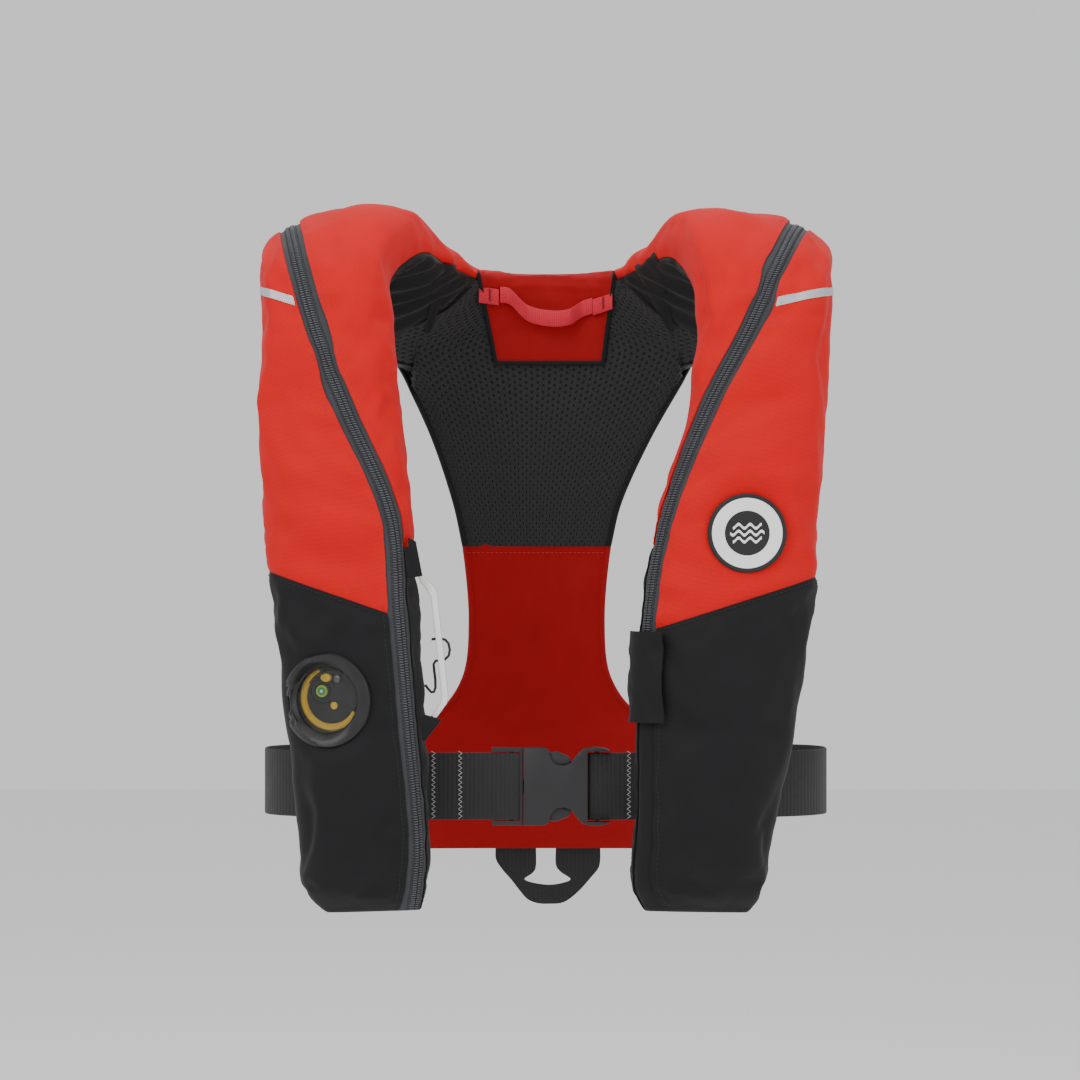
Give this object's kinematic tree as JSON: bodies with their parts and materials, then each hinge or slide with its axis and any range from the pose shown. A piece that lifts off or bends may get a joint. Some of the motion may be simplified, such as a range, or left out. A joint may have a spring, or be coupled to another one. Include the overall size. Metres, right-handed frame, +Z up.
{
  "type": "inflatable life jacket",
  "caption": "Horseshoe-shaped inflatable life jacket worn over the shoulders, closed by a waist belt with a side-release buckle, with a pull handle and inflator window.",
  "frame": {"origin": "the middle of the hang loop's anchorage at the back of the neck, which holds the jacket up", "axes": "+Z up, the wearer faces -Y, the wearer's left side is +X"},
  "size_m": [0.4341, 0.2553, 0.5379],
  "materials": {
    "red_fabric": "woven, matt",
    "dark_red_fabric": "woven, matt",
    "black_fabric": "woven, matt",
    "black_lining": "smooth lining",
    "black_mesh": "spacer mesh",
    "zip_grey": "coil zip and tape",
    "black_webbing": "ribbed polyester webbing",
    "red_webbing": "narrow webbing",
    "buckle_plastic": "fine texture",
    "reflective_tape": "glass bead reflective tape",
    "bladder_film": "coated fabric",
    "handle_plastic": "moulded",
    "cap_plastic": "moulded",
    "inflator_plastic": "moulded",
    "indicator_green": "moulded",
    "cylinder_steel": "zinc plated",
    "welded_vinyl": "radio frequency welded",
    "clear_vinyl": "clear film",
    "badge_rubber": "moulded",
    "whistle_plastic": "moulded",
    "black_cord": "braided"
  },
  "bodies": {
    "jacket": {"shoulder_cover_right": "red_fabric", "collar_cover": "red_fabric", "shoulder_cover_left": "red_fabric", "collar_edge": "red_fabric", "collar_zip": "zip_grey", "shoulder_lining_right": "black_lining", "collar_mesh": "black_mesh", "shoulder_lining_left": "black_lining", "collar_bladder": "bladder_film", "reflective_right": "reflective_tape", "reflective_left": "reflective_tape", "neck_patch": "dark_red_fabric", "back_mesh": "black_mesh", "back_panel": "dark_red_fabric", "back_outer": "black_fabric", "belt_sleeve": "black_fabric", "belt_webbing": "black_webbing", "belt_slider_right": "buckle_plastic", "belt_slider_left": "buckle_plastic", "strap_left": "black_webbing", "buckle_socket": "buckle_plastic"},
    "right_front": {"right_cover": "red_fabric", "right_cover_inner": "red_fabric", "right_panel": "black_fabric", "right_panel_inner": "black_fabric", "right_backing": "black_lining", "right_zip": "zip_grey", "right_bladder": "bladder_film", "window_ring": "welded_vinyl", "window_lens": "clear_vinyl", "inflator_cap": "cap_plastic", "inflator_body": "inflator_plastic", "inflator_key": "cap_plastic", "inflator_indicator": "indicator_green", "gas_cylinder": "cylinder_steel", "handle_tab": "black_fabric", "handle_pocket": "black_fabric"},
    "left_front": {"left_cover": "red_fabric", "left_cover_inner": "red_fabric", "left_panel": "black_fabric", "left_panel_inner": "black_fabric", "left_backing": "black_lining", "left_zip": "zip_grey", "left_bladder": "bladder_film", "badge": "badge_rubber", "oral_tube": "bladder_film", "whistle": "whistle_plastic"},
    "buckle_plug": {"buckle_plug": "buckle_plastic", "strap_right": "black_webbing"},
    "prong_upper": {"prong_upper": "buckle_plastic"},
    "prong_lower": {"prong_lower": "buckle_plastic"},
    "pull_handle": {"pull_handle": "handle_plastic", "pull_cord": "black_cord"},
    "inflator_lever": {"inflator_lever": "inflator_plastic"},
    "garage_flap": {"garage_flap": "black_fabric"},
    "zip_slider": {"zip_slider": "zip_grey"},
    "oral_cap": {"oral_cap": "inflator_plastic"},
    "hang_loop": {"hang_loop": "red_webbing"},
    "crotch_loop": {"crotch_loop": "black_webbing"}
  },
  "joints": [
    {"name": "right_front_swing", "type": "hinge", "parent": "jacket", "child": "right_front", "pos_m": [-0.19, -0.165, -0.2], "axis": [0, 0, -1], "range_deg": [0, 35]},
    {"name": "left_front_swing", "type": "hinge", "parent": "jacket", "child": "left_front", "pos_m": [0.19, -0.165, -0.2], "axis": [0, 0, 1], "range_deg": [0, 35]},
    {"name": "buckle_release", "type": "slide", "parent": "jacket", "child": "buckle_plug", "axis": [-1, 0, 0], "range_m": [0, 0.045]},
    {"name": "prong_upper_squeeze", "type": "hinge", "parent": "buckle_plug", "child": "prong_upper", "pos_m": [-0.0146, -0.1535, -0.352], "axis": [0, 1, 0], "range_deg": [0, 6], "stiffness_Nm_per_rad": 1},
    {"name": "prong_lower_squeeze", "type": "hinge", "parent": "buckle_plug", "child": "prong_lower", "pos_m": [-0.0146, -0.1535, -0.386], "axis": [0, 1, 0], "range_deg": [-6, 0], "stiffness_Nm_per_rad": 1},
    {"name": "handle_pull", "type": "slide", "parent": "right_front", "child": "pull_handle", "axis": [1, 0, 0], "range_m": [0, 0.04], "deforming": ["pull_cord"]},
    {"name": "lever_turn", "type": "hinge", "parent": "right_front", "child": "inflator_lever", "pos_m": [-0.12406, -0.20798, -0.2964], "axis": [-0.342, -0.9397, 0], "range_deg": [0, 45.01]},
    {"name": "flap_lift", "type": "hinge", "parent": "left_front", "child": "garage_flap", "pos_m": [0.08434, -0.22312, -0.2855], "axis": [0.0076, 0.0131, 0.9999], "range_deg": [0, 95]},
    {"name": "zip_slide", "type": "slide", "parent": "left_front", "child": "zip_slider", "axis": [0.0045, 0.0215, 0.9998], "range_m": [0, 0.03]},
    {"name": "oral_cap_pull", "type": "slide", "parent": "left_front", "child": "oral_cap", "axis": [0, 0, 1], "range_m": [0, 0.01]},
    {"name": "hang_loop_lift", "type": "hinge", "parent": "jacket", "child": "hang_loop", "pos_m": [0, -0.01375, 0.0075], "axis": [-0.9944, -0.0176, 0.104], "range_deg": [0, 90]},
    {"name": "crotch_loop_swing", "type": "hinge", "parent": "jacket", "child": "crotch_loop", "pos_m": [0.0015, 0.0041, -0.4254], "axis": [1, 0, 0], "range_deg": [-35, 35]}
  ],
  "couplings": [
    {"joint": "lever_turn", "follows": "handle_pull", "rad_per_m": 19.635},
    {"joint": "prong_lower_squeeze", "follows": "prong_upper_squeeze", "ratio": -1}
  ]
}
